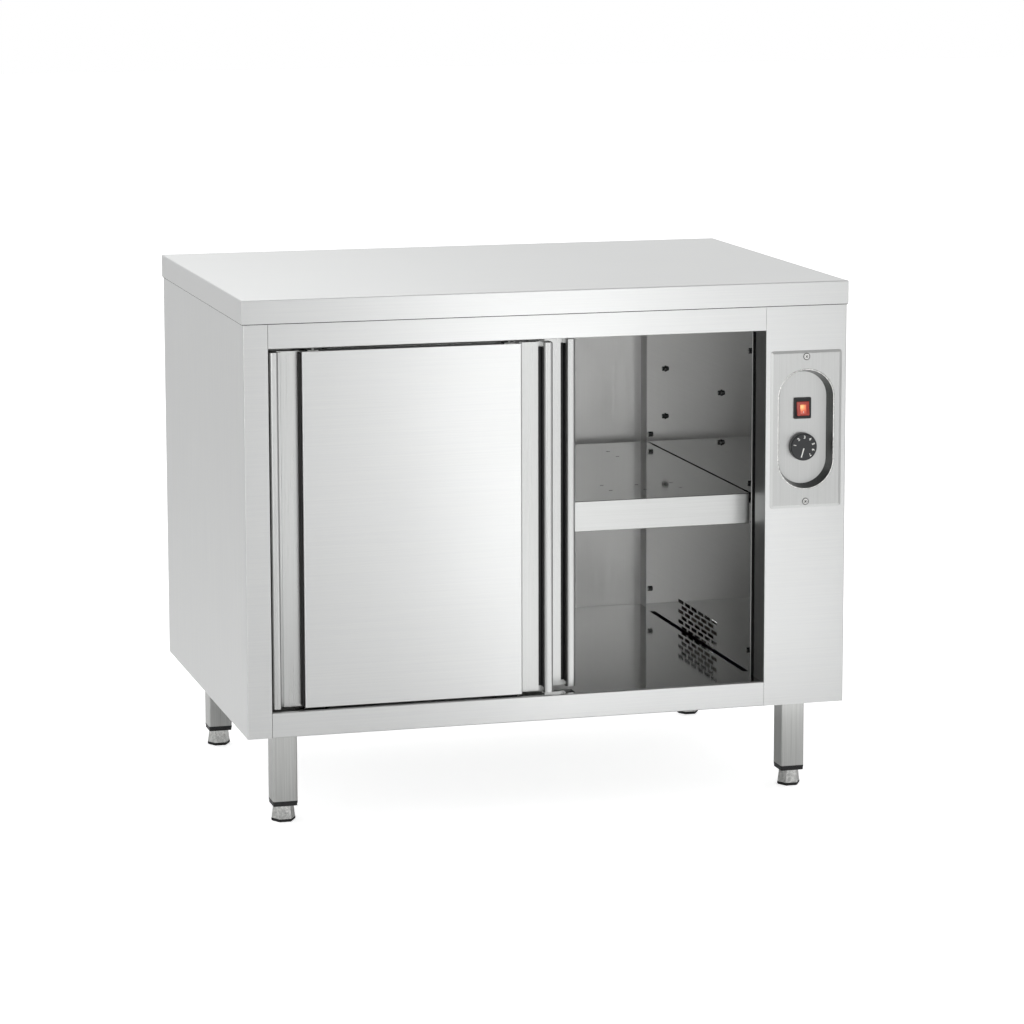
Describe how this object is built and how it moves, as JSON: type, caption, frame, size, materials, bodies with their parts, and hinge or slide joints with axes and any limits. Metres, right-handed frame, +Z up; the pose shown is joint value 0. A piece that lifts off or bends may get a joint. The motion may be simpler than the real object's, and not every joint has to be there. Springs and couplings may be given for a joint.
{
  "type": "plate warmer cabinet",
  "caption": "Heated stainless cupboard on adjustable legs with top-hung sliding doors, a loose shelf on studs, an air grille and a recessed control plate.",
  "frame": {"origin": "on the floor, below the middle of the worktop", "axes": "+X to the right as seen from the doors, +Y to the back, +Z up; the doors are on the -Y side"},
  "size_m": [1, 0.7, 0.85],
  "materials": {
    "satin_steel": "satin, fine straight grain",
    "liner_steel": "bright rolled, mirror-like",
    "leg_steel": "brushed along its length",
    "zinc_steel": "bright plated",
    "black_plastic": "moulded, matt",
    "knob_plastic": "moulded, matt with printed white marks",
    "rocker_plastic": "clear red, lit from behind",
    "roller_plastic": "turned, smooth",
    "terminal_plastic": "moulded",
    "thermostat_case": "moulded",
    "black_rubber": "moulded, matt",
    "copper_tube": "drawn",
    "heater_steel": "heat-tinted"
  },
  "bodies": {
    "cabinet": {"worktop": "satin_steel", "worktop_stiffeners": "satin_steel", "left_side_panel": "satin_steel", "right_side_panel": "satin_steel", "back_panel": "satin_steel", "back_screws": "zinc_steel", "top_rail": "satin_steel", "bottom_rail": "satin_steel", "base_pan": "satin_steel", "cavity_floor": "liner_steel", "inner_left_wall": "liner_steel", "partition_wall": "liner_steel", "inner_back_wall": "liner_steel", "cavity_ceiling": "liner_steel", "liner_bolts": "zinc_steel", "shelf_studs": "zinc_steel", "door_track": "liner_steel", "track_stops": "black_rubber", "floor_guide": "black_plastic", "control_plate": "satin_steel", "plate_screws": "zinc_steel", "switch_housing": "black_plastic", "thermostat_body": "thermostat_case", "temperature_sensor": "copper_tube", "heater_box": "satin_steel", "heater_element": "heater_steel", "fan_frame": "black_plastic", "terminal_block": "terminal_plastic", "cable_gland": "black_plastic", "leg_front_left": "leg_steel", "leg_front_right": "leg_steel", "leg_rear_left": "leg_steel", "leg_rear_right": "leg_steel", "leg_inserts": "black_plastic", "leg_bolts": "zinc_steel"},
    "front_door": {"front_door_frame": "satin_steel", "front_door_panel": "satin_steel", "front_door_back": "liner_steel", "front_door_hangers": "zinc_steel"},
    "front_left_roller": {"front_door_left_roller": "roller_plastic"},
    "front_right_roller": {"front_door_right_roller": "roller_plastic"},
    "rear_door": {"rear_door_frame": "satin_steel", "rear_door_panel": "satin_steel", "rear_door_back": "liner_steel", "rear_door_hangers": "zinc_steel"},
    "rear_left_roller": {"rear_door_left_roller": "roller_plastic"},
    "rear_right_roller": {"rear_door_right_roller": "roller_plastic"},
    "shelf": {"shelf": "liner_steel"},
    "rocker": {"switch_rocker": "rocker_plastic"},
    "knob": {"thermostat_knob": "knob_plastic", "thermostat_spindle": "zinc_steel"},
    "impeller": {"fan_impeller": "black_plastic"},
    "front_left_foot": {"foot_front_left": "zinc_steel", "pad_front_left": "black_rubber"},
    "front_right_foot": {"foot_front_right": "zinc_steel", "pad_front_right": "black_rubber"},
    "rear_left_foot": {"foot_rear_left": "zinc_steel", "pad_rear_left": "black_rubber"},
    "rear_right_foot": {"foot_rear_right": "zinc_steel", "pad_rear_right": "black_rubber"}
  },
  "joints": [
    {"name": "front_door_slide", "type": "slide", "parent": "cabinet", "child": "front_door", "axis": [1, 0, 0], "range_m": [0, 0.3525]},
    {"name": "rear_door_slide", "type": "slide", "parent": "cabinet", "child": "rear_door", "axis": [1, 0, 0], "range_m": [-0.0465, 0.306]},
    {"name": "front_left_roller_spin", "type": "hinge", "parent": "front_door", "child": "front_left_roller", "pos_m": [-0.3845, -0.327, 0.7933], "axis": [0, 1, 0], "range_deg": [-4, 2248.1]},
    {"name": "front_right_roller_spin", "type": "hinge", "parent": "front_door", "child": "front_right_roller", "pos_m": [-0.066, -0.327, 0.7933], "axis": [0, 1, 0], "range_deg": [-4, 2248.1]},
    {"name": "rear_left_roller_spin", "type": "hinge", "parent": "rear_door", "child": "rear_left_roller", "pos_m": [-0.338, -0.295, 0.7933], "axis": [0, 1, 0], "range_deg": [-300, 1952.1]},
    {"name": "rear_right_roller_spin", "type": "hinge", "parent": "rear_door", "child": "rear_right_roller", "pos_m": [-0.0195, -0.295, 0.7933], "axis": [0, 1, 0], "range_deg": [-300, 1952.1]},
    {"name": "shelf_lift", "type": "slide", "parent": "cabinet", "child": "shelf", "axis": [0, 0, 1], "range_m": [0, 0.008]},
    {"name": "power_switch", "type": "hinge", "parent": "cabinet", "child": "rocker", "pos_m": [0.429, -0.3285, 0.641], "axis": [1, 0, 0], "range_deg": [0, 14]},
    {"name": "thermostat_turn", "type": "hinge", "parent": "cabinet", "child": "knob", "pos_m": [0.429, -0.3295, 0.578], "axis": [0, 1, 0], "range_deg": [-141, 164]},
    {"name": "fan_spin", "type": "hinge", "parent": "cabinet", "child": "impeller", "pos_m": [0.44, 0.003, 0.2208], "axis": [1, 0, 0], "continuous": true},
    {"name": "front_left_foot_screw", "type": "slide", "parent": "cabinet", "child": "front_left_foot", "axis": [0, 0, -1], "range_m": [0, 0.025]},
    {"name": "front_right_foot_screw", "type": "slide", "parent": "cabinet", "child": "front_right_foot", "axis": [0, 0, -1], "range_m": [0, 0.025]},
    {"name": "rear_left_foot_screw", "type": "slide", "parent": "cabinet", "child": "rear_left_foot", "axis": [0, 0, -1], "range_m": [0, 0.025]},
    {"name": "rear_right_foot_screw", "type": "slide", "parent": "cabinet", "child": "rear_right_foot", "axis": [0, 0, -1], "range_m": [0, 0.025]}
  ],
  "couplings": [
    {"joint": "front_left_roller_spin", "follows": "front_door_slide", "rad_per_m": 111.11},
    {"joint": "front_right_roller_spin", "follows": "front_door_slide", "rad_per_m": 111.11},
    {"joint": "rear_left_roller_spin", "follows": "rear_door_slide", "rad_per_m": 111.11},
    {"joint": "rear_right_roller_spin", "follows": "rear_door_slide", "rad_per_m": 111.11}
  ]
}
